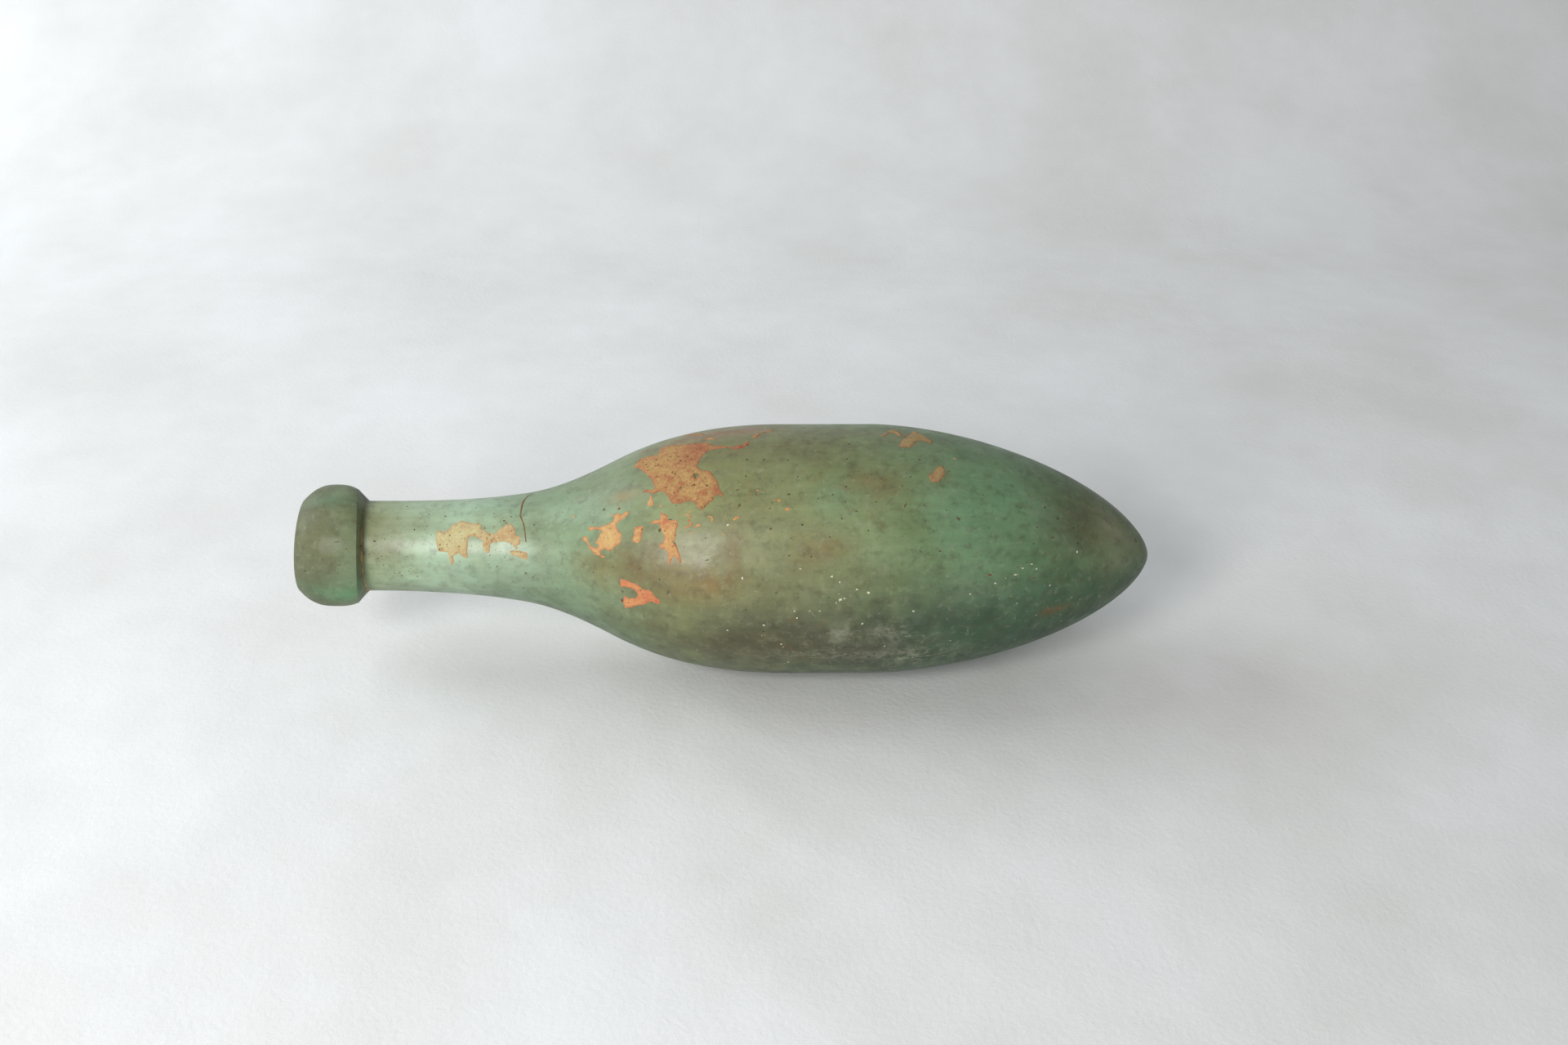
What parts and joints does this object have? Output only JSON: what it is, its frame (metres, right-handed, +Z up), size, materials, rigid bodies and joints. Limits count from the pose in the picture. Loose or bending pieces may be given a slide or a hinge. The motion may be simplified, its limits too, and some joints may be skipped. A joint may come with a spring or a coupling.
{
  "type": "torpedo bottle",
  "caption": "Round-bodied bottle of old green glass with a pointed end and a blob lip, hollow and open at the mouth, lying on its side.",
  "frame": {"origin": "on the surface the bottle lies on, under the middle of its overall box", "axes": "+X along the bottle from its mouth to its point, +Z up; the front that the picture shows faces -Y"},
  "size_m": [0.2328, 0.0682, 0.0678],
  "materials": {
    "glass": "worn, dull green glass with ochre and rust-coloured crusts, brown stains and lime specks"
  },
  "bodies": {
    "root": {"bottle": "glass"}
  },
  "joints": []
}
